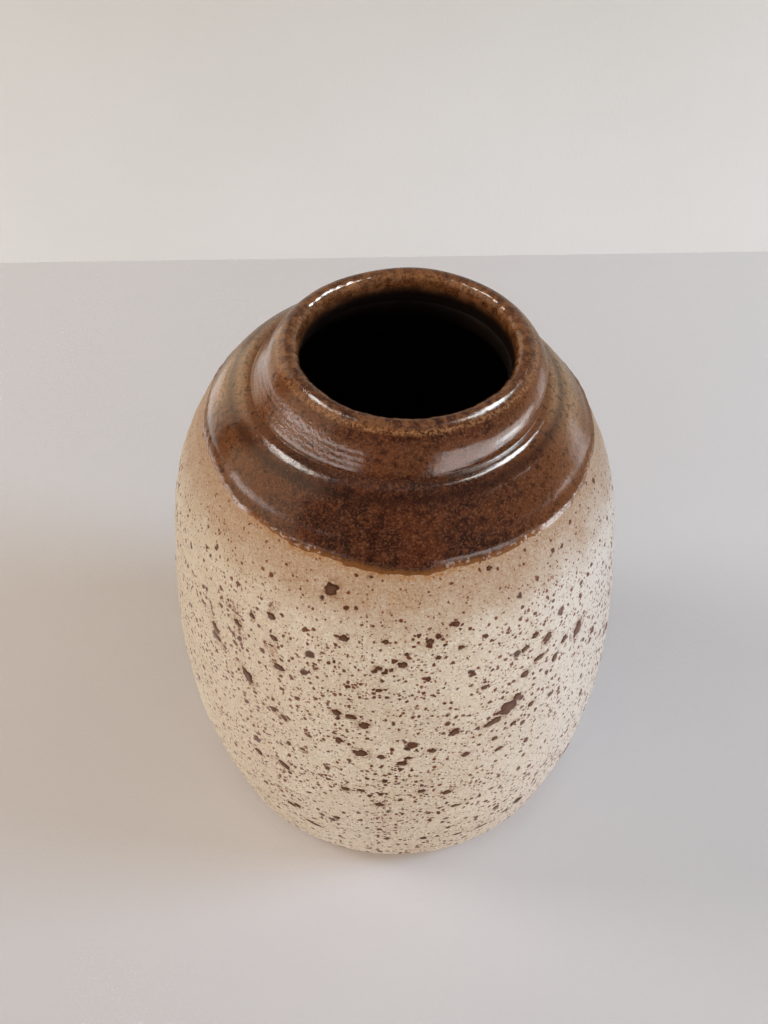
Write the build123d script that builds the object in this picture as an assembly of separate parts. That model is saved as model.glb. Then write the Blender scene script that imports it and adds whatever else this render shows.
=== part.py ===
from build123d import *
import os

# A small thrown stoneware vase, in millimetres. The origin is the centre of the foot, on
# the surface that it stands on. +Z is up and -Y is the front. Every section is drawn flat,
# with X across and Y up, and is then stood up and turned about Z.

# Outside of the clay before glazing: radius and height, from the foot over the shoulder and
# on to where the crown would close without a neck
belly_radius = 49.5
belly_height = 48.7
shoulder_radius = 31.3
shoulder_height = 115.1
body_outline = [
    (40.6, 0),
    (45.4, 15),
    (48.2, 30),
    (belly_radius, belly_height),
    (48.8, 67),
    (46.8, 86),
    (43.3, 98),
    (37.7, 108),
    (shoulder_radius, shoulder_height),
    (15, 124.8),
]
neck_root_radius = 27.4
neck_root_height = 116.4
lip_outer_radius = 26.1
lip_outer_height = 123.9
lip_height = 124.4

# Inside of the clay
wall_thickness = 5.3
neck_bore_radius = 22.4
floor_height = 8.0

# Roundings of the clay
foot_round = 3.0
neck_root_round = 2.0
lip_round = 1.1
inner_neck_round = 2.5
floor_corner_round = 13.0

# Foot ring
foot_recess_radius = 32.5
foot_recess_depth = 2.5

# Glaze coats
cream_thickness = 0.5
gloss_thickness = 0.9
cream_bottom_height = 4.0
cream_top_height = 108.0
brown_edge_height = 104.0
brown_edge_tilt_about_y = 2.1
brown_edge_tilt_about_x = 0.6
brown_drawn_from = 88.0
liner_top_height = 118.5

# Wider and taller than anything drawn, for bands and zones that only cut
room = 400.0

# How finely a moved curve is redrawn, and how often a height is halved to find its place
curve_steps = 16
bisections = 40

# Iron spots stand a little out of the cream glaze. Each one is degrees from the front
# towards +X, height and radius.
spot_proud = 0.15
front_spots = [
    (-15, 98.5, 1.4),
    (-29.5, 91, 0.8),
    (-30, 88.3, 0.9),
    (-35.5, 85.5, 0.8),
    (-41, 84.5, 1.0),
    (-29, 83.2, 0.8),
    (-40, 80.5, 1.4),
    (-29.5, 79.8, 1.2),
    (-27.5, 75.5, 1.1),
    (-48, 73.5, 1.8),
    (-37, 67.5, 1.7),
    (-29.5, 61.5, 0.9),
    (-11, 88.7, 0.9),
    (9.5, 88.8, 0.8),
    (16, 92, 0.7),
    (3, 83.3, 0.9),
    (-12.7, 67.6, 0.9),
    (-9.2, 67, 0.9),
    (-6, 65, 1.1),
    (-12, 59, 0.9),
    (-7, 55.7, 1.6),
    (-2, 55, 0.9),
    (3, 53, 1.1),
    (41, 79.5, 1.3),
    (46.5, 75.5, 0.9),
    (52, 74.5, 1.8),
    (43.5, 72, 1.0),
    (36.8, 82.3, 0.8),
    (34, 80, 0.9),
    (38, 75.3, 1.2),
    (34, 72.5, 1.1),
    (23, 73.5, 0.9),
    (29.5, 64.5, 2.6),
    (24.3, 61.5, 1.1),
    (36, 62, 0.8),
    (15.5, 61.8, 1.1),
    (10.3, 56.8, 0.8),
    (18.5, 53.5, 0.8),
    (27.5, 51.5, 1.0),
    (-35.5, 42, 1.1),
    (-27.5, 42.5, 1.5),
    (-11, 41, 1.0),
    (-2.5, 36, 0.9),
    (8, 42, 0.8),
    (14.5, 40, 1.1),
    (-66, 22, 2.0),
    (-22.5, 17, 1.6),
    (27.5, 14.5, 1.3),
    (60, 22, 2.0),
]
back_spot_count = 22
back_spot_first = 80.0
back_spot_span = 200.0
back_spot_step = 77.0
back_spot_low = 12.0
back_spot_rise = 3.9
back_spot_radii = (1.0, 1.5, 0.8, 1.2)


def band(low, high):
    """A flat strip across the whole section, from one height to another."""
    return Pos(0, (low + high) / 2) * Rectangle(room, high - low)


def rounded(section, radius, x, y):
    """The section with its two corners nearest to (x, y) and (-x, y) rounded."""
    for side in (x, -x):
        corner = section.vertices().sort_by_distance(Vector(side, y, 0))[0]
        section = fillet(corner, radius)
    return section


def redrawn(edge):
    """A curve that was moved sideways, as a plain spline. Lines and arcs stay as they are."""
    if edge.geom_type != GeomType.OFFSET:
        return edge
    points = [edge @ (i / curve_steps) for i in range(curve_steps + 1)]
    return Spline(*points, tangents=(edge % 0, edge % 1))


def grown(section, amount):
    """The section moved out all round by an even amount, or in if the amount is negative."""
    moved = offset(section, amount, kind=Kind.ARC)
    return Sketch() + make_face([redrawn(edge) for edge in moved.edges()])


def dome():
    """The body's outside from the foot to the crown, as one fair curve on each side."""
    side = Spline(*body_outline)
    closing = Polyline(side @ 1, (0, (side @ 1).Y), (0, 0), side @ 0)
    half = make_face(Curve() + [side, closing])
    return Sketch() + half + mirror(half, Plane.YZ)


def neck():
    """The collar above the shoulder, with a shallow ledge at its root and a sloping rim."""
    right = [
        (shoulder_radius, shoulder_height),
        (neck_root_radius, neck_root_height),
        (lip_outer_radius, lip_outer_height),
        (neck_bore_radius, lip_height),
    ]
    left = [(-x, y) for x, y in reversed(right)]
    return make_face(Polyline(*right, *left, close=True))


def cavity():
    """The hollow: the dome's outline moved in by the wall, a flat floor, and the neck's bore."""
    belly = grown(dome(), -wall_thickness) & band(floor_height, room)
    belly = rounded(belly, floor_corner_round, belly_radius, floor_height)
    bore_low = shoulder_height - 2 * wall_thickness
    bore = Pos(0, (bore_low + room) / 2) * Rectangle(2 * neck_bore_radius, room - bore_low)
    hollow = (belly & band(floor_height, lip_height)) + bore
    return rounded(hollow, inner_neck_round, neck_bore_radius, shoulder_height)


def clay():
    """The thrown pot in section: the outside less the hollow and the foot's recess."""
    outside = (dome() & band(0, shoulder_height)) + neck()
    outside = rounded(outside, foot_round, belly_radius, 0)
    outside = rounded(outside, neck_root_round, neck_root_radius, neck_root_height)
    recess = Pos(0, foot_recess_depth / 2) * Rectangle(2 * foot_recess_radius, foot_recess_depth)
    pot = outside - cavity() - recess
    pot = rounded(pot, lip_round, lip_outer_radius, lip_outer_height)
    return rounded(pot, lip_round, neck_bore_radius, lip_height)


def coat(pot, thickness):
    """A skin of even thickness all over the clay's section."""
    return grown(pot, thickness) - pot


def turned(section):
    """The solid that the right half of a section makes when it is turned about the axis."""
    right = section & (Pos(room / 2, 0) * Rectangle(room, 2 * room))
    return revolve(Plane.XZ * right, Axis.Z, 360)


def dipped_zone():
    """Everything above the slightly tilted line to which the brown glaze was dipped."""
    zone = Pos(0, 0, room / 4) * Box(room / 2, room / 2, room / 2)
    tilt = Rot(brown_edge_tilt_about_x, brown_edge_tilt_about_y, 0)
    return Pos(0, 0, brown_edge_height) * tilt * zone


def on_the_cream(height):
    """The radius of the cream glaze at a height on the body, and the slope of its normal."""
    side = Spline(*body_outline)
    low, high = 0.0, 1.0
    for _ in range(bisections):
        middle = (low + high) / 2
        if (side @ middle).Y < height:
            low = middle
        else:
            high = middle
    along = side % low
    normal = Vector(along.Y, -along.X)
    return side @ low + normal * cream_thickness, normal


def iron_spot(degrees_from_front, height, radius):
    """A thin disc that lies flat against the cream glaze and faces straight out."""
    place, normal = on_the_cream(height)
    flat = Plane(origin=(place.X, 0, place.Y), z_dir=(normal.X, 0, normal.Y))
    disc = Cylinder(radius, spot_proud, align=(Align.CENTER, Align.CENTER, Align.MIN))
    return Rot(0, 0, degrees_from_front - 90) * (flat * disc)


def back_spots():
    """Spots for the side away from the front, spread by an even step round and up."""
    for i in range(back_spot_count):
        turn = back_spot_first + (i * back_spot_step) % back_spot_span
        yield turn, back_spot_low + back_spot_rise * i, back_spot_radii[i % len(back_spot_radii)]


def save(solid, name):
    export_step(solid, f"parts/{name}.step")


os.makedirs("parts", exist_ok=True)
pot = clay()
hollow = cavity()
cream_section = (coat(pot, cream_thickness) & band(cream_bottom_height, cream_top_height)) - hollow
gloss = coat(pot, gloss_thickness)
brown_section = (gloss & band(brown_drawn_from, room)) - cream_section
brown_section -= hollow & band(0, liner_top_height)

save(turned(pot), "stoneware_body")
save(turned(cream_section), "cream_glaze")
save(turned(brown_section) & dipped_zone(), "brown_glaze")
save(turned(gloss & hollow & band(0, liner_top_height)), "liner_glaze")
spots = [iron_spot(*place) for place in [*front_spots, *back_spots()]]
save(Compound(children=spots), "iron_spots")
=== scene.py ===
import math

import bpy
import numpy as np
from mathutils import Matrix, Vector


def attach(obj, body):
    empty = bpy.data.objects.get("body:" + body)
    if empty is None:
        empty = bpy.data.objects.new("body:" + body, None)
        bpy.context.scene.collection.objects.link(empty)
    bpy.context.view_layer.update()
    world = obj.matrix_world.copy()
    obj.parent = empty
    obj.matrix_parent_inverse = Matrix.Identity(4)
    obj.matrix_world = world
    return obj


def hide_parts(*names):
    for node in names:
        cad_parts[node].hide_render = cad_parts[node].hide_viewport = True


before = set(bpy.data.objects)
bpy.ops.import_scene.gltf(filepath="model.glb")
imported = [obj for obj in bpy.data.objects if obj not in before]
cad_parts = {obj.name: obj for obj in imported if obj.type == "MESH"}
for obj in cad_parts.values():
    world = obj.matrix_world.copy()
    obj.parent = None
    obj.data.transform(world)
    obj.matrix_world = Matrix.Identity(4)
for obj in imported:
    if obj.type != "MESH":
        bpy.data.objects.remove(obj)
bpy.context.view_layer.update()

# ------------------------------------------------------------------ sizes, in millimetres
MM = 0.001
TAU = 2 * math.pi

# The clay in section, as radius and height: from the centre of the underside, round the foot
# ring, up the outside, over the lip, down the inside and along the floor to its centre.
CLAY_LINE = [
    (0.0, 2.5), (10.0, 2.5), (20.0, 2.5), (29.0, 2.5), (31.4, 2.35), (32.2, 1.6), (32.6, 0.6),
    (33.2, 0.1), (34.2, 0.0), (37.6, 0.0), (38.7, 0.08), (39.9, 0.5), (40.8, 1.4), (41.5, 2.7),
    (42.1, 4.3), (43.35, 8.1), (45.2, 15.0), (46.9, 22.0), (48.2, 30.0), (49.15, 39.0),
    (49.5, 48.7), (49.35, 58.0), (48.8, 67.0), (48.0, 76.5), (46.8, 86.0), (45.4, 92.2),
    (43.3, 98.0), (40.75, 103.3), (37.7, 108.0), (34.6, 112.0), (33.6, 112.8), (32.6, 113.6),
    (31.9, 114.15), (31.3, 114.58), (30.85, 114.82), (30.3, 114.97), (29.6, 115.07), (29.05, 115.3),
    (28.65, 115.8), (28.4, 116.6), (28.15, 117.5), (27.85, 118.6), (27.5, 119.7), (27.1, 120.7),
    (26.6, 121.6), (26.1, 122.35), (25.5, 123.05), (24.9, 123.7), (24.3, 124.15), (23.6, 124.4),
    (22.95, 124.2), (22.55, 123.6), (22.4, 122.0), (22.4, 119.0), (22.5, 117.5), (23.1, 116.1),
    (24.6, 114.1), (27.0, 111.8), (30.4, 108.6), (33.6, 104.4), (36.3, 100.4), (39.8, 92.2),
    (42.0, 81.0), (43.3, 70.0), (44.1, 58.0), (44.2, 48.0), (43.8, 38.0), (42.8, 30.0),
    (41.3, 20.5), (39.8, 15.6), (37.0, 11.4), (32.6, 8.8), (27.0, 8.05), (18.0, 8.0), (9.0, 8.0),
    (0.0, 8.0),
]
LINE_STEP = 0.05
CREAM_THICKNESS = 0.5
GLOSS_THICKNESS = 0.9
KEYED_IN = 0.05
CREAM_FOOT = 4.0
CREAM_TOP = 108.0
BROWN_EDGE = 104.0
LINER_TOP = 118.5
LINER_TAPER = 1.6
# The body leans to the left on its way up, and the neck stands back to the right of it
LEAN_HEIGHT = 113.0
LEAN_SIDEWAYS = -1.5
NECK_SIDEWAYS = 0.55
NECK_STARTS, NECK_ENDS = 113.5, 121.0


def smoothstep(value, low, high):
    t = np.clip((value - low) / (high - low), 0, 1)
    return t * t * (3 - 2 * t)


def catmull(points, step):
    """Close, even points on a smooth curve through the given points."""
    p = np.array(points, float)
    p = np.vstack([2 * p[0] - p[1], p, 2 * p[-1] - p[-2]])
    out = []
    for a, b, c, d in zip(p[:-3], p[1:-2], p[2:-1], p[3:]):
        t0 = 0.0
        t1 = t0 + math.sqrt(np.linalg.norm(b - a))
        t2 = t1 + math.sqrt(np.linalg.norm(c - b))
        t3 = t2 + math.sqrt(np.linalg.norm(d - c))
        t = np.linspace(t1, t2, 41)[:-1, None]
        ab = (t1 - t) / (t1 - t0) * a + (t - t0) / (t1 - t0) * b
        bc = (t2 - t) / (t2 - t1) * b + (t - t1) / (t2 - t1) * c
        cd = (t3 - t) / (t3 - t2) * c + (t - t2) / (t3 - t2) * d
        abc = (t2 - t) / (t2 - t0) * ab + (t - t0) / (t2 - t0) * bc
        bcd = (t3 - t) / (t3 - t1) * bc + (t - t1) / (t3 - t1) * cd
        out.append((t2 - t) / (t2 - t1) * abc + (t - t1) / (t2 - t1) * bcd)
    line = np.vstack([*out, p[-2]])
    run = np.concatenate([[0], np.cumsum(np.linalg.norm(np.diff(line, axis=0), axis=1))])
    even = np.arange(0, run[-1], step)
    return even, np.interp(even, run, line[:, 0]), np.interp(even, run, line[:, 1])


LINE_S, LINE_R, LINE_Z = catmull(CLAY_LINE, LINE_STEP)
slope_r, slope_z = np.gradient(LINE_R, LINE_STEP), np.gradient(LINE_Z, LINE_STEP)
slope = np.hypot(slope_r, slope_z)
NORMAL_R, NORMAL_Z = slope_z / slope, -slope_r / slope
LIP_TOP = LINE_S[np.argmax(LINE_Z)]


def outside_at(height):
    """The distance along the clay line where its outside passes a height."""
    rising = (LINE_S > LINE_S[np.argmax(LINE_R > 38.0)]) & (LINE_S < LIP_TOP)
    return float(np.interp(height, LINE_Z[rising], LINE_S[rising]))


def inside_at(height):
    """The distance along the clay line where the inside of the neck passes a height."""
    falling = LINE_S > LIP_TOP
    return float(np.interp(-height, -LINE_Z[falling], LINE_S[falling]))


class Wave:
    """A smooth periodic line of noise round the pot, the same on every run."""

    def __init__(self, seed, orders, size):
        rng = np.random.default_rng(seed)
        self.orders = np.array(orders, float)
        self.phases = rng.uniform(0, TAU, len(orders))
        self.sizes = rng.uniform(0.5, 1.0, len(orders))
        self.sizes *= size / np.sqrt((self.sizes**2).sum())

    def __call__(self, theta):
        turns = self.orders * np.asarray(theta)[..., None] + self.phases
        return (np.cos(turns) * self.sizes).sum(-1)


lip_height_wave = Wave(3, [1, 2, 3, 5, 8], 0.16)
lip_edge_wave = Wave(4, [7, 11, 17, 23, 31, 43, 59], 0.10)
round_wave = Wave(5, [2, 3, 4], 0.12)
edge_wave = Wave(6, [3, 5, 8, 13, 19], 0.35)
edge_ripple = Wave(7, [31, 47, 67, 89, 113], 0.13)
bead_wave = Wave(8, [9, 17, 29, 53, 83], 0.25)
foot_wave = Wave(9, [2, 5, 9, 14, 27, 41], 0.35)

# The thrower's marks: ridges up the wall, fine grooves at the neck's root and foot turning
RIDGE_PITCHES = (3.1, 4.7, 7.3)
RIDGE_SIZES = (0.035, 0.06, 0.06)
RIDGE_CLIMB = 3.0
INSIDE_RIDGES = 3.0
GROOVE_PITCH, GROOVE_SIZE = 1.15, 0.022
TURNING_PITCH, TURNING_SIZE = 2.3, 0.07
LEFT_OF_NECK = math.radians(-62)


def relief(theta, s, z):
    """How far the thrower's marks lift the surface along its normal."""
    outside = smoothstep(s, outside_at(5), outside_at(10))
    outside = outside * (1 - smoothstep(s, outside_at(107), outside_at(113)))
    inside = smoothstep(s, inside_at(116), inside_at(100))
    climb = z + RIDGE_CLIMB * theta / TAU
    lift = 0 * s
    for pitch, size in zip(RIDGE_PITCHES, RIDGE_SIZES):
        lift = lift + size * np.sin(TAU * climb / pitch + 2.1 * np.sin(TAU * z / (3.7 * pitch)))
    lift = lift * (outside + INSIDE_RIDGES * inside)
    lift = lift + round_wave(theta) * np.maximum(outside, inside)
    neck = smoothstep(s, outside_at(113), outside_at(115))
    neck = neck * (1 - smoothstep(s, outside_at(119.5), outside_at(121)))
    side = 0.45 + 0.55 * np.cos(theta - LEFT_OF_NECK)
    turns = TAU * (s - outside_at(114)) / GROOVE_PITCH + 1.5 * np.sin(3 * theta)
    lift = lift + GROOVE_SIZE * neck * side * np.sin(turns)
    turning = 1 - smoothstep(s, outside_at(0.3) - 9, outside_at(0.3) - 7)
    lift = lift + TURNING_SIZE * turning * np.sin(TAU * s / TURNING_PITCH + theta)
    rim = np.exp(-(((s - inside_at(123.4)) / 1.2) ** 2))
    lift = lift + rim * lip_edge_wave(theta)
    return lift


def lean(z):
    """How far the centre of each ring stands to the right of the foot's centre."""
    body = LEAN_SIDEWAYS * z / LEAN_HEIGHT
    return body + (NECK_SIDEWAYS - body) * smoothstep(z, NECK_STARTS, NECK_ENDS)


def place(theta, s, height):
    """Points in metres: round the pot, along the clay line, and out from the clay.

    theta is 0 at the front and grows towards +X."""
    theta, s, height = np.broadcast_arrays(theta, s, height)
    r = np.interp(s, LINE_S, LINE_R)
    z = np.interp(s, LINE_S, LINE_Z)
    out = height + relief(theta, s, z)
    r = np.maximum(r + out * np.interp(s, LINE_S, NORMAL_R), 0)
    z = z + out * np.interp(s, LINE_S, NORMAL_Z)
    z = z + lip_height_wave(theta) * smoothstep(z, 114, 124)
    z = np.maximum(z, 0)
    x = lean(z) * smoothstep(r, 0, 3) + r * np.sin(theta)
    return np.stack([x, -r * np.cos(theta), z], -1) * MM


def rounds(count):
    """Even angles round the pot."""
    return np.arange(count) * TAU / count


def theta_from_front(theta, degrees=0.0):
    """Angle from a place so many degrees from the front, between -pi and pi."""
    return np.mod(theta - math.radians(degrees) + math.pi, TAU) - math.pi


def mesh_object(name, points, faces, smooth=True):
    mesh = bpy.data.meshes.new(name)
    mesh.from_pydata(points.reshape(-1, 3).tolist(), [], faces)
    mesh.validate()
    mesh.update()
    if smooth:
        mesh.shade_smooth()
    obj = bpy.data.objects.new(name, mesh)
    bpy.context.scene.collection.objects.link(obj)
    return obj


def set_attribute(obj, name, values):
    """A value for each point of a piece, which its material reads."""
    layer = obj.data.attributes.new(name, "FLOAT", "POINT")
    layer.data.foreach_set("value", np.asarray(values, np.float32).ravel())


def grid_faces(rows, around, closed):
    """Quads between neighbouring rings, wound to face away from the clay."""
    faces = []
    last = rows if closed else rows - 1
    for j in range(last):
        low, high = j * around, ((j + 1) % rows) * around
        for i in range(around):
            k = (i + 1) % around
            faces.append((low + i, low + k, high + k, high + i))
    return faces


def lathe(name, points, poles=False):
    """A closed piece from rings of points. With poles, the first and last ring each close on
    one point; without, the last ring joins the first."""
    rows, around = points.shape[:2]
    faces = grid_faces(rows, around, not poles)
    flat = points.reshape(-1, 3)
    if poles:
        first, last = len(flat), len(flat) + 1
        top = (rows - 1) * around
        flat = np.vstack([flat, points[0].mean(0), points[-1].mean(0)])
        for i in range(around):
            k = (i + 1) % around
            faces.append((first, k, i))
            faces.append((last, top + i, top + k))
    return mesh_object(name, flat, faces)


# ------------------------------------------------------------------ shader helpers
def srgb(r, g, b):
    """A colour given in 0-255 screen values, as linear RGBA."""
    def linear(v):
        v /= 255
        return v / 12.92 if v <= 0.04045 else ((v + 0.055) / 1.055) ** 2.4
    return (linear(r), linear(g), linear(b), 1.0)


class Nodes:
    """Short calls that add nodes to a tree."""

    def __init__(self, tree):
        self.nodes = tree.nodes
        self.links = tree.links

    def put(self, socket, value):
        if isinstance(value, bpy.types.NodeSocket):
            self.links.new(value, socket)
        elif value is not None:
            socket.default_value = value

    def node(self, kind, **settings):
        node = self.nodes.new(kind)
        for key, value in settings.items():
            setattr(node, key, value)
        return node

    def math(self, operation, a, b=None):
        node = self.node("ShaderNodeMath", operation=operation)
        self.put(node.inputs[0], a)
        self.put(node.inputs[1], b)
        return node.outputs[0]

    def vector_math(self, operation, a, b):
        node = self.node("ShaderNodeVectorMath", operation=operation)
        self.put(node.inputs[0], a)
        self.put(node.inputs[1], b)
        return node.outputs[0]

    def scaled(self, vector, factor):
        node = self.node("ShaderNodeVectorMath", operation="SCALE")
        self.put(node.inputs[0], vector)
        node.inputs["Scale"].default_value = factor
        return node.outputs[0]

    def mix(self, factor, a, b):
        node = self.node("ShaderNodeMix", data_type="RGBA")
        self.put(node.inputs[0], factor)
        self.put(node.inputs[6], a)
        self.put(node.inputs[7], b)
        return node.outputs[2]

    def ramp(self, value, low, high, to_low=0.0, to_high=1.0):
        node = self.node("ShaderNodeMapRange", interpolation_type="SMOOTHSTEP")
        self.put(node.inputs["Value"], value)
        self.put(node.inputs["From Min"], low)
        self.put(node.inputs["From Max"], high)
        self.put(node.inputs["To Min"], to_low)
        self.put(node.inputs["To Max"], to_high)
        return node.outputs["Result"]

    def noise(self, vector, size, detail=2.0, roughness=0.5, output="Fac"):
        """Noise whose lumps are about size millimetres across."""
        node = self.node("ShaderNodeTexNoise")
        self.put(node.inputs["Vector"], vector)
        node.inputs["Scale"].default_value = 1 / size
        node.inputs["Detail"].default_value = detail
        node.inputs["Roughness"].default_value = roughness
        return node.outputs[output]

    def cells(self, vector, size):
        """Distance in millimetres to the nearest of scattered points, and three random values
        of that point."""
        node = self.node("ShaderNodeTexVoronoi")
        self.put(node.inputs["Vector"], vector)
        node.inputs["Scale"].default_value = 1 / size
        split = self.node("ShaderNodeSeparateColor")
        self.put(split.inputs[0], node.outputs["Color"])
        return self.math("MULTIPLY", node.outputs["Distance"], size), split.outputs

    def pulse(self, value, low, high, soft):
        """1 between low and high and 0 outside, with soft ends."""
        rise = self.ramp(value, low - soft, low + soft)
        fall = self.ramp(value, high + soft, high - soft)
        return self.math("MULTIPLY", rise, fall)


class Look(Nodes):
    """A material and short calls that add nodes to it."""

    def __init__(self, name):
        self.material = bpy.data.materials.new(name)
        self.material.use_nodes = True
        super().__init__(self.material.node_tree)
        self.shader = self.nodes["Principled BSDF"]

    def attribute(self, name):
        return self.node("ShaderNodeAttribute", attribute_name=name).outputs["Fac"]

    def millimetres(self):
        """The point's place on the piece, in millimetres."""
        return self.scaled(self.node("ShaderNodeTexCoord").outputs["Object"], 1 / MM)

    def height_of(self, vector):
        node = self.node("ShaderNodeSeparateXYZ")
        self.put(node.inputs[0], vector)
        return node.outputs["Z"]

    def warped(self, vector, size, amount):
        """The place pushed about by noise, for ragged outlines."""
        wander = self.noise(vector, size, output="Color")
        wander = self.vector_math("SUBTRACT", wander, (0.5, 0.5, 0.5))
        return self.vector_math("ADD", vector, self.scaled(wander, amount))

    def bump(self, height, amount):
        """Relief from a height in millimetres."""
        node = self.node("ShaderNodeBump")
        node.inputs["Distance"].default_value = MM
        node.inputs["Strength"].default_value = amount
        self.put(node.inputs["Height"], height)
        return node.outputs["Normal"]

    def specks(self, vector, cell, radius, chance):
        """Scattered dots: how far inside one the point is from 0 to 1, and its random tone."""
        distance, rand = self.cells(vector, cell)
        reach = self.ramp(rand[0], 0.0, 1.0, 0.35 * radius, radius)
        inside = self.ramp(self.math("DIVIDE", distance, reach), 1.0, 0.62)
        there = self.math("LESS_THAN", rand[1], chance)
        return self.math("MULTIPLY", inside, there), rand[2]


# ------------------------------------------------------------------ camera
# Its place in metres, its turns in degrees and its lens in millimetres
CAMERA_PLACE = Vector((0.0, -0.216, 0.2995))
CAMERA_YAW, CAMERA_PITCH, CAMERA_ROLL = -0.92, 45.87, 0.92
CAMERA_LENS = 49.22


def make_camera():
    data = bpy.data.cameras.new("camera")
    data.lens = CAMERA_LENS
    data.sensor_width = 36.0
    data.clip_start = 0.005
    data.clip_end = 20.0
    camera = bpy.data.objects.new("camera", data)
    bpy.context.scene.collection.objects.link(camera)
    yaw, pitch, roll = (math.radians(v) for v in (CAMERA_YAW, CAMERA_PITCH, CAMERA_ROLL))
    level_part = math.cos(pitch)
    forward = Vector((math.sin(yaw) * level_part, math.cos(yaw) * level_part, -math.sin(pitch)))
    level = forward.cross(Vector((0, 0, 1))).normalized()
    above = level.cross(forward)
    right = math.cos(roll) * level + math.sin(roll) * above
    up = math.cos(roll) * above - math.sin(roll) * level
    turn = Matrix((right, up, -forward)).transposed()
    camera.matrix_world = Matrix.Translation(CAMERA_PLACE) @ turn.to_4x4()
    bpy.context.scene.camera = camera


# ------------------------------------------------------------------ floor, wall and light
# In metres. The wall stands behind the vase, not quite square to the camera.
FLOOR_REACH = 1.6
WALL_LEFT, WALL_RIGHT = Vector((-0.140, 0.194)), Vector((0.125, 0.212))
WALL_PAST_ENDS = 0.9
WALL_HEIGHT = 0.5


def plaster(name, axis, start, stop, start_colour, stop_colour):
    """Matt paint with painted light: its colour fades from one colour to another between two places
    along an axis, in millimetres, in place of light that changes across the surface."""
    look = Look(name)
    spot = look.millimetres()
    split = look.node("ShaderNodeSeparateXYZ")
    look.put(split.inputs[0], spot)
    # Painted light: the colour fade between the two places, with a faint cloud of uneven tone laid on
    painted_light_and_mottle = look.ramp(split.outputs[axis], start, stop, 0.0, 0.9)
    cloud = look.ramp(look.noise(spot, 90.0, 3.0), 0.3, 0.7, 0.0, 0.1)
    painted_light_and_mottle = look.math("ADD", cloud, painted_light_and_mottle)
    look.put(look.shader.inputs["Base Color"], look.mix(painted_light_and_mottle, start_colour, stop_colour))
    look.shader.inputs["Roughness"].default_value = 0.75
    look.shader.inputs["Specular IOR Level"].default_value = 0.25
    grain = look.noise(spot, 0.9, 4.0, 0.6)
    look.put(look.shader.inputs["Normal"], look.bump(grain, 0.08))
    return look


def make_stage():
    corners = [(-1, -1, 0), (1, -1, 0), (1, 1, 0), (-1, 1, 0)]
    floor = mesh_object("floor", FLOOR_REACH * np.array(corners, float), [(0, 1, 2, 3)], smooth=False)
    # Painted light: the floor is painted brighter towards the back, in place of more light falling
    # there
    paint = plaster("pale_floor", "Y", -90.0, 90.0, srgb(229, 227, 229), srgb(244, 243, 245))
    floor.data.materials.append(paint.material)
    floor.visible_glossy = False
    along = (WALL_RIGHT - WALL_LEFT).normalized()
    left, right = WALL_LEFT - along * WALL_PAST_ENDS, WALL_RIGHT + along * WALL_PAST_ENDS
    corners = [(*left, 0), (*right, 0), (*right, WALL_HEIGHT), (*left, WALL_HEIGHT)]
    wall = mesh_object("wall", np.array(corners, float), [(0, 1, 2, 3)], smooth=False)
    wall.visible_glossy = False
    wall.visible_diffuse = False
    # Painted light: the wall is painted brighter near the floor and darker towards its top, in place
    # of light bounced up from the floor
    look = plaster("pale_wall", "Z", 0.0, 200.0, srgb(238, 238, 239), srgb(200, 198, 192))
    see_through = look.node("ShaderNodeBsdfTransparent")
    pick = look.node("ShaderNodeMixShader")
    behind = look.math(
        "MULTIPLY",
        look.node("ShaderNodeNewGeometry").outputs["Backfacing"],
        look.node("ShaderNodeLightPath").outputs["Is Camera Ray"],
    )
    look.put(pick.inputs[0], behind)
    look.put(pick.inputs[1], look.shader.outputs[0])
    look.put(pick.inputs[2], see_through.outputs[0])
    look.put(look.nodes["Material Output"].inputs["Surface"], pick.outputs[0])
    wall.data.materials.append(look.material)


def direction(azimuth, elevation):
    """Azimuth 0 looks behind the vase and 90 to its right, in degrees."""
    a, e = math.radians(azimuth), math.radians(elevation)
    return Vector((math.sin(a) * math.cos(e), math.cos(a) * math.cos(e), math.sin(e)))


def window(name, azimuth, elevation, width, radiance, colour):
    """A square soft light one metre off, seen by matt surfaces only."""
    data = bpy.data.lights.new(name, "AREA")
    data.shape = "SQUARE"
    data.size = width
    data.color = colour
    data.energy = radiance * math.pi * width**2
    light = bpy.data.objects.new(name, data)
    bpy.context.scene.collection.objects.link(light)
    light.location = direction(azimuth, elevation)
    light.rotation_euler = direction(azimuth, elevation).to_track_quat("Z", "Y").to_euler()
    light.visible_camera = False
    light.visible_glossy = False


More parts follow.
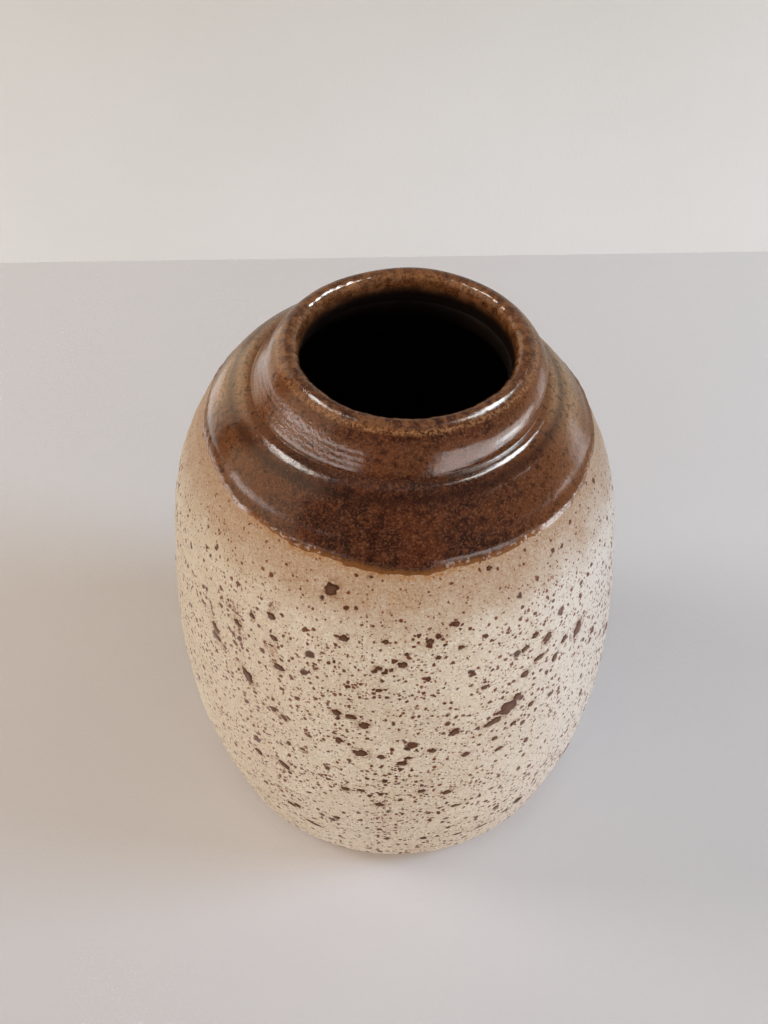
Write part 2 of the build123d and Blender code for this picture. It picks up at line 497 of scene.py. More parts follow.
# What the gloss mirrors: lowest and highest azimuth, lowest and highest elevation, softness of
# the ends in degrees, brightness and colour. Later ones are laid over earlier ones.
MIRRORED = [
    (-180, 180, -95, -2, 3, 0.40, (1.0, 0.88, 0.76)),
    (-62, 62, -3, 28, 3, 0.42, (1.0, 0.93, 0.84)),
    (-62, 62, 28, 95, 5, 0.26, (1.0, 0.88, 0.74)),
    (-128, -76, -8, 52, 5, 0.90, (1.0, 0.81, 0.58)),
    (-152, -128, 4, 70, 5, 0.10, (1.0, 0.8, 0.7)),
    (-76, -60, -14, 34, 2, 0.07, (1.0, 0.8, 0.7)),
    (-60, -28, -30, 36, 2, 1.1, (1.0, 0.85, 0.65)),
    (72, 180, 4, 60, 4, 0.12, (1.0, 0.9, 0.85)),
    (50, 64, -28, -4, 2, 1.5, (0.98, 0.96, 0.96)),
    (-150, -84, -60, -2, 2, 3.9, (1.0, 0.94, 0.90)),
    (-112, -98, -60, -12, 2, 4.0, (0.98, 0.97, 0.98)),
    (-84, -30, -60, -14, 4, 1.3, (1.0, 0.94, 0.88)),
    (72, 124, -60, -6, 3, 3.7, (1.0, 0.95, 0.93)),
    (124, 156, -60, 2, 4, 3.5, (1.0, 0.93, 0.91)),
    (-106, -90, -34, -24, 2, 9.0, (1.0, 0.99, 0.96)),
    (84, 104, -34, -24, 2, 10.0, (0.84, 0.95, 1.0)),
    (-84, -62, 48, 57, 1, 18.0, (1.0, 0.99, 0.93)),
    (-100, -84, 56, 64, 1, 10.0, (1.0, 0.98, 0.88)),
    (50, 84, 43, 59, 1, 26.0, (0.88, 0.96, 1.0)),
    (84, 104, 54, 67, 1, 14.0, (1.0, 0.97, 0.88)),
    (156, 181, -70, 70, 4, 0.06, (1.0, 0.8, 0.7)),
    (-181, -154, -70, 70, 4, 0.06, (1.0, 0.8, 0.7)),
]
MIRRORED_ELSEWHERE = (0.3, 0.285, 0.27, 1.0)
# What lights matt surfaces from all round, and from low down in front
AMBIENT = (0.24, 0.175, 0.10, 1.0)
AMBIENT_LOW_FRONT = (1.19, 1.09, 0.95, 1.0)
BACKDROP = (0.62, 0.59, 0.565, 1.0)
WINDOW_ELEVATION = 36
WINDOW_WIDTH = 0.34


def make_world():
    """Pale light from all round for matt surfaces, a room of bright and dark patches for gloss,
    and a plain backdrop behind the floor."""
    world = bpy.data.worlds.new("room")
    bpy.context.scene.world = world
    world.use_nodes = True
    room = Nodes(world.node_tree)
    split = room.node("ShaderNodeSeparateXYZ")
    room.put(split.inputs[0], room.node("ShaderNodeTexCoord").outputs["Generated"])
    x, y, z = split.outputs
    azimuth = room.math("DEGREES", room.math("ARCTAN2", x, y))
    elevation = room.math("DEGREES", room.math("ARCSINE", z))
    mirrored = MIRRORED_ELSEWHERE
    for low, high, bottom, top, soft, brightness, colour in MIRRORED:
        across = room.pulse(azimuth, low, high, soft)
        up = room.pulse(elevation, bottom, top, soft)
        patch = tuple(brightness * c for c in colour) + (1.0,)
        mirrored = room.mix(room.math("MULTIPLY", across, up), mirrored, patch)
    low_front = room.math("MULTIPLY", room.ramp(z, 0.85, 0.58), room.ramp(y, 0.15, -0.5))
    ambient = room.mix(low_front, AMBIENT, AMBIENT_LOW_FRONT)
    path = room.node("ShaderNodeLightPath")
    light = room.mix(path.outputs["Is Glossy Ray"], ambient, mirrored)
    light = room.mix(path.outputs["Is Camera Ray"], light, BACKDROP)
    room.put(room.nodes["Background"].inputs["Color"], light)


def make_light():
    make_world()
    window("left_window", -86, WINDOW_ELEVATION, WINDOW_WIDTH, 7.3, (1.0, 0.95, 0.98))
    window("right_window", 94, WINDOW_ELEVATION, WINDOW_WIDTH, 11.3, (0.52, 0.73, 1.0))


# ------------------------------------------------------------------ the vase
# Points round each piece
AROUND = 384
BROWN_AROUND = 512
INSIDE_AROUND = 256


# Where the brown glaze's lower edge dips (-) or climbs (+): degrees from the front, millimetres
# and half width in degrees
EDGE_SWELLS = [(0, -0.5, 22), (85, 0.7, 25), (-72, 0.7, 30)]


def brown_edge(theta):
    """Distance along the clay line of the brown glaze's lower edge."""
    height = BROWN_EDGE - 1.35 * np.sin(theta) - 0.5 * np.cos(theta)
    for place_of_swell, size, half_width in EDGE_SWELLS:
        off = theta_from_front(theta, place_of_swell) / math.radians(half_width)
        height = height + size * np.exp(-(off**2))
    height = height + edge_wave(theta) + edge_ripple(theta)
    samples = np.linspace(99, 109, 201)
    return np.interp(height, samples, [outside_at(h) for h in samples])


def coat_rings(theta, s, height, back_rows):
    """Rings over a coat's face and back again along the clay under it."""
    back = np.linspace(0, 1, back_rows)[1:-1, None]
    s_back = s[-1] + (s[0] - s[-1]) * back
    face = place(theta, s, height)
    hidden = place(theta, s_back, -KEYED_IN)
    return np.concatenate([face, hidden])


def shown_on(points, face):
    """A face's values over a whole coat, with 0 on its hidden back."""
    values = np.zeros(points.shape[:2])
    values[: len(face)] = face
    return values


def make_clay():
    theta = rounds(INSIDE_AROUND)[None, :]
    fine = np.arange(3.0, outside_at(9), 0.45)
    coarse = np.arange(outside_at(9), LINE_S[-1] - 3.0, 1.6)
    s = np.concatenate([fine, coarse])[:, None]
    pot = lathe("clay_pot", place(theta, s, 0.0), poles=True)
    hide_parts("stoneware_body")
    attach(pot, "root")

    look = Look("tan_stoneware")
    spot = look.millimetres()
    cloud = look.ramp(look.noise(spot, 9.0, 4.0), 0.35, 0.7)
    body = look.mix(cloud, srgb(186, 158, 128), srgb(168, 138, 108))
    grog, _ = look.specks(look.warped(spot, 0.8, 0.3), 1.3, 0.3, 0.35)
    body = look.mix(look.math("MULTIPLY", grog, 0.6), body, srgb(112, 84, 62))
    iron, _ = look.specks(look.warped(spot, 0.8, 0.4), 3.2, 0.55, 0.5)
    body = look.mix(look.math("MULTIPLY", iron, 0.8), body, srgb(74, 50, 38))
    look.put(look.shader.inputs["Base Color"], body)
    look.put(look.shader.inputs["Roughness"], look.ramp(look.noise(spot, 2.0), 0.3, 0.7, 0.78, 0.92))
    grain = look.math("ADD", look.noise(spot, 0.45, 4.0, 0.7), look.math("MULTIPLY", grog, -0.3))
    look.put(look.shader.inputs["Normal"], look.bump(grain, 0.16))
    pot.data.materials.append(look.material)


# Iron spots on the cream glaze: degrees from the front towards +X, height, radius, how many
# times longer than wide, and the turn of the long way from level, in degrees
SPOTS = [
    (-15, 98.5, 1.4, 1.1, 80), (-29.5, 91, 0.8, 1.2, 20), (-30, 88.3, 0.9, 1.3, -30),
    (-35.5, 85.5, 0.8, 1.4, -50), (-41, 84.5, 1.0, 1.4, -50), (-29, 83.2, 0.8, 1.2, -20),
    (-40, 80.5, 1.3, 1.6, -60), (-29.5, 79.8, 1.2, 1.5, -45), (-27.5, 75.5, 1.1, 1.3, 0),
    (-48, 73.5, 1.6, 2.6, -62), (-37, 67.5, 1.5, 2.1, -55), (-29.5, 61.5, 0.9, 1.4, -40),
    (-11, 88.7, 0.9, 1.2, 30), (9.5, 88.8, 0.8, 1.2, 0), (16, 92, 0.7, 1.1, 0),
    (3, 83.3, 0.9, 1.3, 10), (-12.7, 67.6, 0.9, 1.3, -10), (-9.2, 67, 0.9, 1.6, -5),
    (-6, 65, 1.1, 1.2, 0), (-12, 59, 0.8, 2.0, -25), (-7, 55.7, 1.4, 1.3, -5),
    (-2, 55, 0.8, 1.3, 0), (3, 53, 1.0, 1.4, 10), (41, 79.5, 1.2, 1.3, 60),
    (46.5, 75.5, 0.9, 1.3, 60), (52, 74.5, 1.7, 1.5, 70), (43.5, 72, 0.9, 1.8, 50),
    (36.8, 82.3, 0.8, 1.2, 30), (34, 80, 0.9, 1.2, 20), (38, 75.3, 1.0, 1.9, 5),
    (34, 72.5, 1.0, 1.3, 20), (23, 73.5, 0.8, 1.3, 20), (29.5, 64.5, 1.9, 1.7, 40),
    (24.3, 61.5, 1.0, 1.7, 20), (36, 62, 0.8, 1.2, 30), (15.5, 61.8, 1.1, 1.2, 10),
    (25.9, 61.9, 1.3, 1.9, 30), (31.6, 66.6, 1.2, 1.9, 52), (28.2, 65.4, 0.9, 1.7, 60),
    (27.0, 64.1, 0.7, 2.2, 8),
    (10.3, 56.8, 0.8, 1.2, 10), (18.5, 53.5, 0.8, 1.3, 15), (27.5, 51.5, 0.9, 1.4, 20),
    (-35.5, 42, 1.0, 1.6, -40), (-27.5, 42.5, 1.2, 2.2, -35), (-11, 41, 0.9, 1.4, -20),
    (-2.5, 36, 0.9, 1.4, 0), (8, 42, 0.8, 1.3, 10), (14.5, 40, 1.0, 1.3, 10),
    (-66, 22, 1.9, 1.8, -50), (-22.5, 17, 1.2, 2.8, -15), (27.5, 14.5, 1.1, 2.4, 15),
    (60, 22, 1.9, 1.8, 50), (-5, 102.2, 0.55, 1.1, 0), (26, 101.3, 0.55, 1.1, 0),
    (-2.6, 82.1, 0.6, 1.5, 0), (-1.2, 80.9, 0.5, 1.8, 0), (-3.6, 81.2, 0.5, 1.4, 30),
    (0.4, 81.9, 0.5, 1.3, 60), (-1, 89, 0.6, 1.2, 0), (-2.5, 76, 0.6, 1.4, 0),
    (17, 86.3, 0.6, 1.2, 10), (11.5, 84.5, 0.6, 1.2, 0), (4, 86, 0.5, 1.2, 0),
    (17, 33, 0.8, 1.6, 10), (39, 20, 0.9, 1.7, 25), (35, 18, 0.8, 1.7, 20),
    (20, 15, 0.8, 1.8, 10), (-14.5, 26, 0.8, 1.6, -10), (-28, 24, 0.8, 1.9, -25),
    (-26, 25, 0.7, 1.5, -25), (-21.5, 51.5, 0.8, 1.5, -30), (-26.5, 60.5, 0.8, 1.5, -35),
    (31, 58.5, 0.7, 1.3, 20), (26, 56, 0.7, 1.3, 15), (4.5, 54.8, 0.7, 2.4, 0),
    (-7, 41.5, 0.7, 1.5, -5),
]
BACK_SPOTS = 46
# Each spot's blister: points round it, its rings from the middle out, how far the face of each
# ring stands out of the cream, and how deep its back lies
SPOKES = 26
RINGS = (0.0, 0.35, 0.62, 0.82, 0.94, 1.0)
RING_LIFTS = (0.13, 0.14, 0.13, 0.09, 0.03, -0.06)
SPOT_DEPTH = -0.25


def all_spots():
    """The spots seen from the front, and more of the same kind round the back."""
    yield from SPOTS
    rng = np.random.default_rng(21)
    for _ in range(BACK_SPOTS):
        azimuth = rng.uniform(72, 288)
        height = 10 + 86 * rng.uniform() ** 1.15
        radius = 0.6 + 1.3 * rng.uniform() ** 2.5
        yield azimuth, height, radius, rng.uniform(1.1, 2.2), rng.uniform(-60, 60)


def make_blotches():
    """Low, irregular blisters of iron that sit in the cream glaze."""
    rng = np.random.default_rng(22)
    points, faces, inside = [], [], []
    turn = rounds(SPOKES)
    for azimuth, height, radius, longer, tilt in all_spots():
        outline = 1 + Wave(int(rng.integers(1 << 30)), [2, 3, 4, 5, 7], 0.17)(turn)
        outline = outline + Wave(int(rng.integers(1 << 30)), [9, 11, 13], 0.05)(turn)
        half_long = radius * math.sqrt(longer)
        half_short = radius / math.sqrt(longer)
        angle = math.radians(tilt)
        centre_s = outside_at(height)
        across = float(np.interp(centre_s, LINE_S, LINE_R))
        base = sum(len(p) for p in points)
        face = list(zip(RINGS, RING_LIFTS))
        back = [(part, SPOT_DEPTH) for part in RINGS[-2::-1]]
        for part, lift in face + back:
            along = half_long * part * outline * np.cos(turn)
            aside = half_short * part * outline * np.sin(turn)
            u = along * math.cos(angle) - aside * math.sin(angle)
            v = along * math.sin(angle) + aside * math.cos(angle)
            theta = math.radians(azimuth) + u / across
            points.append(place(theta, centre_s + v, CREAM_THICKNESS + lift))
            inside.append(np.full(SPOKES, 1 - part))
        rows = 2 * len(RINGS) - 1
        for j in range(1, rows - 2):
            low, high = base + j * SPOKES, base + (j + 1) * SPOKES
            for i in range(SPOKES):
                k = (i + 1) % SPOKES
                faces.append((low + i, low + k, high + k, high + i)[::-1])
        faces.append(tuple(base + SPOKES + i for i in range(SPOKES)))
        faces.append(tuple(base + (rows - 2) * SPOKES + i for i in reversed(range(SPOKES))))
    blotches = mesh_object("iron_blotches", np.concatenate(points), faces)
    set_attribute(blotches, "inside", np.concatenate(inside))
    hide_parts("iron_spots")
    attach(blotches, "root")

    look = Look("melted_iron")
    spot = look.millimetres()
    inside = look.attribute("inside")
    mottle = look.noise(spot, 0.7, 3.0, 0.6)
    grey = look.ramp(look.math("ADD", inside, look.math("MULTIPLY", mottle, 0.5)), 0.35, 0.95)
    iron = look.mix(grey, srgb(74, 42, 26), srgb(98, 68, 50))
    flecks, _ = look.specks(look.warped(spot, 0.5, 0.3), 0.6, 0.22, 0.4)
    iron = look.mix(look.math("MULTIPLY", flecks, 0.7), iron, srgb(46, 27, 19))
    rim = look.ramp(inside, 0.12, 0.0)
    iron = look.mix(look.math("MULTIPLY", rim, 0.55), iron, srgb(140, 98, 62))
    look.put(look.shader.inputs["Base Color"], iron)
    look.put(look.shader.inputs["Roughness"], look.ramp(mottle, 0.3, 0.7, 0.45, 0.65))
    look.shader.inputs["Specular IOR Level"].default_value = 0.12
    look.put(look.shader.inputs["Normal"], look.bump(mottle, 0.15))
    blotches.data.materials.append(look.material)


def halo_of_spots(theta, s):
    """How near each point of the cream glaze is to a large spot, from 0 to 1."""
    near = np.zeros(np.broadcast(theta, s).shape)
    for azimuth, height, radius, longer, tilt in all_spots():
        centre_s = outside_at(height)
        across = float(np.interp(centre_s, LINE_S, LINE_R))
        u = theta_from_front(theta, azimuth) * across
        v = s - centre_s
        angle = math.radians(tilt)
        along = (u * math.cos(angle) + v * math.sin(angle)) / math.sqrt(longer)
        aside = (v * math.cos(angle) - u * math.sin(angle)) * math.sqrt(longer)
        distance = np.hypot(along, aside) / radius
        near = np.maximum(near, 1 - smoothstep(distance, 0.9, 2.2))
    return near


# An amber stain under the brown glaze: degrees from the front, and height. The rounds run
# from the front through a full turn, so only what lies right of the front shows.
STAIN_PLACE = -10
STAIN_HEIGHT = 97
STAIN_RADIUS = 44.0


def make_cream():
    theta = rounds(AROUND)[None, :]
    low = outside_at(CREAM_FOOT) + foot_wave(rounds(AROUND))[None, :] * 0.9
    high = outside_at(CREAM_TOP)
    whole = high - outside_at(CREAM_FOOT)
    steps = np.concatenate([[0.0, 0.12, 0.3, 0.55, 0.9, 1.4], np.arange(2.2, whole - 1.0, 0.85)])
    s = np.minimum(low + steps[:, None] * (high - low) / whole, high)
    d = s - low
    height = CREAM_THICKNESS * np.clip(d / 0.4, 0, 1) ** 0.5 + 0.12 * np.exp(-(((d - 0.9) / 0.6) ** 2))
    height[0] = -KEYED_IN
    s = np.vstack([s, np.full((1, AROUND), high)])
    height = np.vstack([height, np.full((1, AROUND), -KEYED_IN)])
    points = coat_rings(theta, s, height, 24)
    coat = lathe("cream_coat", points)

    below_brown = brown_edge(rounds(AROUND))[None, :] - s
    along = (theta - math.radians(STAIN_PLACE)) * STAIN_RADIUS
    up = s - outside_at(STAIN_HEIGHT)
    stain = np.exp(-((along / 8.0) ** 2) - ((up / 3.4) ** 2))
    off_front = np.abs(theta_from_front(theta, -8))
    amber = 0.25 + 0.75 * (1 - smoothstep(off_front, math.radians(20), math.radians(48)))
    # Which side of the front each point lies on, used for painted light on the cream
    sideways = np.zeros(points.shape[:2])
    sideways[:] = np.sin(theta_from_front(theta))
    set_attribute(coat, "halo", shown_on(points, halo_of_spots(theta, s)))
    set_attribute(coat, "below_brown", shown_on(points, below_brown))
    set_attribute(coat, "stain", shown_on(points, stain))
    set_attribute(coat, "amber", shown_on(points, amber + 0 * s))
    set_attribute(coat, "sideways", sideways)
    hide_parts("cream_glaze")
    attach(coat, "root")

    look = Look("speckled_cream_glaze")
    spot = look.millimetres()
    z = look.height_of(spot)
    cloud = look.ramp(look.noise(spot, 22.0, 3.0), 0.3, 0.7)
    mottle = look.ramp(look.noise(spot, 3.2, 4.0, 0.6), 0.3, 0.72)
    body = look.mix(cloud, srgb(222, 208, 189), srgb(210, 193, 173))
    body = look.mix(look.math("MULTIPLY", mottle, 0.45), body, srgb(236, 227, 213))
    grain = look.noise(spot, 0.5, 4.0, 0.75)
    body = look.mix(look.ramp(grain, 0.46, 0.64, 0.0, 0.5), body, srgb(180, 150, 122))
    pale = look.noise(look.warped(spot, 1.2, 1.0), 0.7, 3.0, 0.7)
    body = look.mix(look.ramp(pale, 0.50, 0.66, 0.0, 0.5), body, srgb(247, 242, 234))
    # Painted light: the cream is painted warmer tan on the left side and paler, greyer on the right,
    # for the warm light from the left and the cool light from the right
    sideways = look.attribute("sideways")
    body = look.mix(look.ramp(sideways, -0.2, -0.95, 0.0, 0.45), body, srgb(192, 175, 142))
    body = look.mix(look.ramp(sideways, 0.3, 0.95, 0.0, 0.5), body, srgb(224, 219, 214))

    # Painted shade: the cream is darkened just below the brown glaze, fading out with ragged noise
    # further down
    below = look.attribute("below_brown")
    uneven = look.math("MULTIPLY", look.noise(look.warped(spot, 4.0, 3.0), 7.0, 5.0, 0.65), -22.0)
    shade = look.ramp(look.math("ADD", below, uneven), 7.0, -9.0)
    shade = look.math("MULTIPLY", shade, look.ramp(grain, 0.35, 0.6, 0.6, 1.0))
    body = look.mix(look.math("MULTIPLY", shade, 0.95), body, srgb(176, 142, 112))
    reach = look.math("ADD", below, look.math("MULTIPLY", look.noise(spot, 0.8, 4.0, 0.7), -3.2))
    amber = look.math("MULTIPLY", look.ramp(reach, 0.0, -1.2), look.attribute("amber"))
    amber = look.math("MULTIPLY", amber, look.ramp(look.noise(spot, 0.45, 3.0, 0.7), 0.40, 0.56))
    patchy = look.ramp(look.noise(spot, 3.0, 2.0), 0.35, 0.6, 0.35, 1.0)
    amber = look.math("MULTIPLY", amber, patchy)
    body = look.mix(look.math("MULTIPLY", amber, 0.85), body, srgb(172, 116, 54))
    streaks = look.ramp(look.noise(spot, 1.6, 4.0, 0.65), 0.42, 0.62)
    stain = look.math("MULTIPLY", look.attribute("stain"), streaks)
    body = look.mix(look.math("MULTIPLY", stain, 0.75), body, srgb(190, 132, 66))
    ragged_ring = look.ramp(look.noise(spot, 0.9, 3.0, 0.6), 0.40, 0.60)
    halo = look.math("MULTIPLY", look.attribute("halo"), ragged_ring)
    body = look.mix(look.math("MULTIPLY", halo, 0.7), body, srgb(140, 92, 58))

    crowd = look.ramp(look.noise(spot, 13.0, 2.0), 0.3, 0.7, 0.6, 1.2)
    fine_chance = look.math("MULTIPLY", crowd, look.ramp(z, 104.0, 90.0, 0.5, 1.0))
    chance = look.math("MULTIPLY", crowd, look.ramp(z, 100.0, 80.0, 0.12, 1.0))
    # Specks, small to large: size and amount of the raggedness, crowding, size of a cell,
    # largest radius, share of cells that hold one, strength, pale and dark colour
    layers = [
        (0.5, 0.4, fine_chance, 0.6, 0.21, 0.8, 0.75, srgb(156, 96, 56), srgb(104, 54, 28)),
        (0.7, 0.6, fine_chance, 0.9, 0.34, 0.85, 0.88, srgb(140, 74, 36), srgb(98, 44, 20)),
        (0.9, 0.8, chance, 1.3, 0.58, 0.95, 0.95, srgb(120, 60, 28), srgb(88, 39, 18)),
        (1.1, 1.1, chance, 2.2, 0.85, 0.6, 0.97, srgb(104, 53, 27), srgb(80, 37, 19)),
        (1.4, 1.5, chance, 4.2, 1.35, 0.3, 0.97, srgb(90, 51, 31), srgb(70, 37, 22)),
    ]
    iron = 0.0
    for ragged, amount, crowded, cell, radius, share, strength, pale, dark in layers:
        where = look.warped(spot, ragged, amount)
        mark, tone = look.specks(where, cell, radius, look.math("MULTIPLY", crowded, share))
        body = look.mix(look.math("MULTIPLY", mark, strength), body, look.mix(tone, pale, dark))
        iron = look.math("MAXIMUM", iron, mark)
    look.put(look.shader.inputs["Base Color"], body)

    rough = look.ramp(look.noise(spot, 1.7, 3.0), 0.3, 0.7, 0.42, 0.55)
    rough = look.math("SUBTRACT", rough, look.math("MULTIPLY", iron, 0.08))
    look.put(look.shader.inputs["Roughness"], rough)
    look.shader.inputs["IOR"].default_value = 1.5
    look.shader.inputs["Specular IOR Level"].default_value = 0.08
    lumps = look.math("MULTIPLY", look.noise(spot, 1.6, 3.0, 0.6), 0.11)
    relief_height = look.math("ADD", lumps, look.math("MULTIPLY", grain, 0.06))
    relief_height = look.math("ADD", relief_height, look.math("MULTIPLY", iron, 0.04))
    look.put(look.shader.inputs["Normal"], look.bump(relief_height, 0.9))
    coat.data.materials.append(look.material)


def make_brown():
    theta = rounds(BROWN_AROUND)[None, :]
    low = brown_edge(rounds(BROWN_AROUND))[None, :]
    high = inside_at(LINER_TOP)
    near = np.array([-0.6, -0.25, 0.0, 0.2, 0.45, 0.75, 1.05, 1.4, 1.85, 2.4, 3.0])
    far = np.linspace(0, 1, 96)[1:, None] ** 0.94
    s = np.vstack([low + near[:, None], low + 3.0 + far * (high - low - 3.0)])
    d = s - low
    size = 1 + bead_wave(theta)
    turned = np.abs(theta_from_front(theta))
    bead = 0.02 + 0.22 * smoothstep(turned, math.radians(36), math.radians(52))
    proud = 0.40 * (1 - np.exp(-np.maximum(d, 0) / 1.9)) + 0.2 * np.minimum(d, 0)
    proud = proud + bead * size * np.exp(-(((d - 1.2) / 0.7) ** 2))
    height = CREAM_THICKNESS + proud
    height = height - 0.25 * smoothstep(s, high - 0.9, high)
    face_rows = len(s)
    s = np.vstack([s, np.full((1, BROWN_AROUND), high)])
    height = np.vstack([height, np.full((1, BROWN_AROUND), -KEYED_IN)])
    points = coat_rings(theta, s, height, 20)
    coat = lathe("brown_coat", points)
    from_edge = np.full(points.shape[:2], 5.0)
    from_edge[:face_rows] = d
    set_attribute(coat, "from_edge", from_edge)
    outer_break = np.exp(-(((s - outside_at(123.6)) / 0.5) ** 2))
    inner_break = np.exp(-(((s - inside_at(124.1)) / 0.35) ** 2))
    neck = smoothstep(s, outside_at(116), outside_at(117.5))
    neck = neck * (1 - smoothstep(s, outside_at(121), outside_at(123)))
    patch_u = theta_from_front(theta, -74) * 37.0
    patch_v = s - outside_at(110.0)
    tan_band = smoothstep(s, outside_at(107), outside_at(111))
    tan_band = tan_band * (1 - smoothstep(s, outside_at(114.5), outside_at(115.5)))
    wrinkle = np.exp(-((theta_from_front(theta, -46) / math.radians(22)) ** 2))
    looks = {
        "worn": np.maximum(0.9 * outer_break, 0.6 * inner_break),
        "lip": smoothstep(s, outside_at(123.3), outside_at(124.0)),
        "deep": smoothstep(s, inside_at(124.0), inside_at(120.6)),
        # Painted shade in the groove just below the neck's root
        "groove_shade": np.exp(-(((s - outside_at(113.4)) / 1.2) ** 2)),
        "side": smoothstep(turned, math.radians(22), math.radians(80)) + 0 * s,
        "red_patch": np.exp(-((patch_u / 5.5) ** 4) - ((patch_v / 4.6) ** 4)),
        "tan": tan_band * smoothstep(turned, math.radians(62), math.radians(88)),
        "neck": neck,
        "wrinkled": neck * wrinkle,
    }
    for name, values in looks.items():
        set_attribute(coat, name, shown_on(points, values))
    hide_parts("brown_glaze")
    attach(coat, "root")

    look = Look("brown_gloss_glaze")
    spot = look.millimetres()
    fine = look.noise(look.warped(spot, 0.7, 0.7), 0.5, 4.0, 0.7)
    coarse = look.noise(look.warped(spot, 2.0, 1.5), 1.5, 4.0, 0.65)
    cloud = look.ramp(look.noise(spot, 9.0, 3.0), 0.38, 0.62)
    body = look.mix(cloud, srgb(84, 43, 25), srgb(56, 27, 16))
    # Painted light: the brown is painted lighter towards the left and right sides, where more light
    # falls on it
    body = look.mix(look.math("MULTIPLY", look.attribute("side"), 0.66), body, srgb(156, 99, 56))
    # Painted light and sheen: the upper shoulder is painted pale tan towards both sides as seen from
    # the front
    body = look.mix(look.math("MULTIPLY", look.attribute("tan"), 0.75), body, srgb(192, 152, 108))
    body = look.mix(look.math("MULTIPLY", look.attribute("neck"), 0.35), body, srgb(132, 86, 58))
    body = look.mix(look.ramp(coarse, 0.50, 0.62, 0.0, 0.5), body, srgb(112, 66, 41))
    body = look.mix(look.ramp(coarse, 0.48, 0.38, 0.0, 0.6), body, srgb(40, 18, 11))
    blotch = look.noise(look.warped(spot, 1.8, 1.4), 2.2, 5.0, 0.65)
    blotch = look.ramp(blotch, 0.44, 0.60)
    lip_tone = look.mix(blotch, srgb(64, 31, 18), srgb(150, 100, 62))
    body = look.mix(look.math("MULTIPLY", look.attribute("lip"), 0.6), body, lip_tone)
    body = look.mix(look.ramp(fine, 0.51, 0.64, 0.0, 0.5), body, srgb(138, 92, 62))
    body = look.mix(look.ramp(fine, 0.47, 0.36, 0.0, 0.55), body, srgb(36, 16, 9))
    uneven = look.ramp(coarse, 0.62, 0.42, 0.3, 1.0)
    red = look.math("MULTIPLY", look.attribute("red_patch"), uneven)
    body = look.mix(look.math("MULTIPLY", red, 0.85), body, srgb(78, 36, 20))
    broken = look.ramp(look.noise(spot, 0.6, 3.0, 0.7), 0.42, 0.58)
    worn = look.math("MULTIPLY", look.attribute("worn"), broken)
    body = look.mix(look.math("MULTIPLY", worn, 0.8), body, srgb(180, 130, 86))
    # Painted shade: the narrow band just below the neck's root is painted dark brown
    body = look.mix(look.math("MULTIPLY", look.attribute("groove_shade"), 0.6), body, srgb(40, 19, 12))
    frayed = look.math("MULTIPLY", look.noise(spot, 0.9, 4.0, 0.7), -2.2)
    reach = look.math("ADD", look.attribute("from_edge"), frayed)
    fringe = look.ramp(reach, 0.7, -1.0)
    body = look.mix(look.math("MULTIPLY", fringe, 0.8), body, srgb(136, 88, 46))
    # Painted shade: the brown glaze inside the mouth is painted darker and darker down into the neck
    body = look.mix(look.attribute("deep"), body, srgb(20, 12, 9))
    look.put(look.shader.inputs["Base Color"], body)
    gloss = look.ramp(look.noise(spot, 2.2, 2.0), 0.3, 0.7, 0.07, 0.14)
    rim = look.ramp(look.attribute("from_edge"), 2.0, 1.0)
    matt_rim = look.math("MULTIPLY", rim, look.ramp(look.noise(spot, 0.8, 2.0), 0.64, 0.56))
    matt_rim = look.math("MULTIPLY", matt_rim, look.ramp(look.attribute("side"), 0.42, 0.26))
    matt = look.math("MAXIMUM", matt_rim, look.attribute("deep"))
    rough = look.math("ADD", gloss, look.math("MULTIPLY", matt, 0.5))
    look.put(look.shader.inputs["Roughness"], rough)
    mirror = look.math("ADD", 0.5, look.math("MULTIPLY", matt, -0.42))
    look.put(look.shader.inputs["Specular IOR Level"], mirror)
    look.shader.inputs["IOR"].default_value = 1.56
    peel = look.math("MULTIPLY", look.noise(spot, 2.4, 3.0), 0.10)
    pits = look.math("MULTIPLY", fine, 0.03)
    ripples = look.noise(look.warped(spot, 1.2, 1.2), 0.8, 2.0)
    wrinkled = look.math("MULTIPLY", look.attribute("wrinkled"), 0.2)
    ripples = look.math("MULTIPLY", ripples, wrinkled)
    crumbly = look.ramp(look.attribute("from_edge"), 2.4, 1.2)
    crumbly = look.math("MULTIPLY", crumbly, look.attribute("side"))
    crumbs = look.math("MULTIPLY", look.noise(spot, 0.6, 2.0), crumbly)
    crumbs = look.math("MULTIPLY", crumbs, 0.35)
    relief_height = look.math("ADD", look.math("ADD", peel, pits), look.math("ADD", ripples, crumbs))
    look.put(look.shader.inputs["Normal"], look.bump(relief_height, 0.8))
    coat.data.materials.append(look.material)


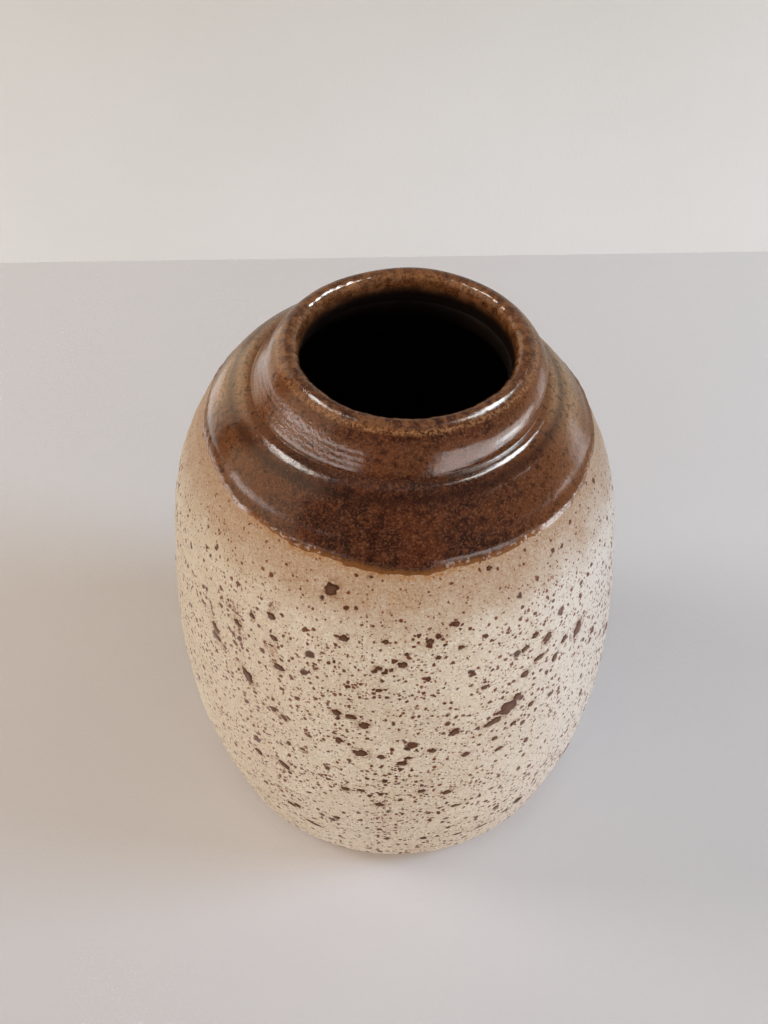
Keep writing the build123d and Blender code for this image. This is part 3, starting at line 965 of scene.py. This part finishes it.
def make_liner():
    theta = rounds(INSIDE_AROUND)[None, :]
    low = inside_at(LINER_TOP) - LINER_TAPER
    taper = low + np.array([0.0, 0.3, 0.7, 1.1, LINER_TAPER])
    wall = np.arange(low + 2.4, LINE_S[-1] - 3.0, 1.3)
    s = np.concatenate([taper, wall])[:, None]
    s = np.broadcast_to(s, (len(s), INSIDE_AROUND))
    thin = 1 - smoothstep(s, low, low + LINER_TAPER)
    height = GLOSS_THICKNESS - (GLOSS_THICKNESS + KEYED_IN) * thin
    back = s[::-3]
    points = np.concatenate([place(theta, back, -KEYED_IN), place(theta, s, height)])
    coat = lathe("liner_coat", points, poles=True)
    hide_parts("liner_glaze")
    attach(coat, "root")

    look = Look("dark_liner_glaze")
    spot = look.millimetres()
    coarse = look.noise(spot, 6.0, 3.0)
    body = look.mix(look.ramp(coarse, 0.35, 0.65), srgb(24, 15, 11), srgb(15, 9, 7))
    fleck, _ = look.specks(look.warped(spot, 0.6, 0.4), 1.8, 0.3, 0.4)
    body = look.mix(look.math("MULTIPLY", fleck, 0.4), body, srgb(46, 29, 20))
    look.put(look.shader.inputs["Base Color"], body)
    look.put(look.shader.inputs["Roughness"], look.ramp(coarse, 0.3, 0.7, 0.5, 0.62))
    look.shader.inputs["Specular IOR Level"].default_value = 0.2
    look.put(look.shader.inputs["Normal"], look.bump(look.noise(spot, 2.6, 2.0), 0.12))
    coat.data.materials.append(look.material)


make_camera()
make_clay()
make_cream()
make_brown()
make_liner()
make_blotches()
make_stage()
make_light()

settings = bpy.context.scene.view_settings
settings.view_transform = "Standard"
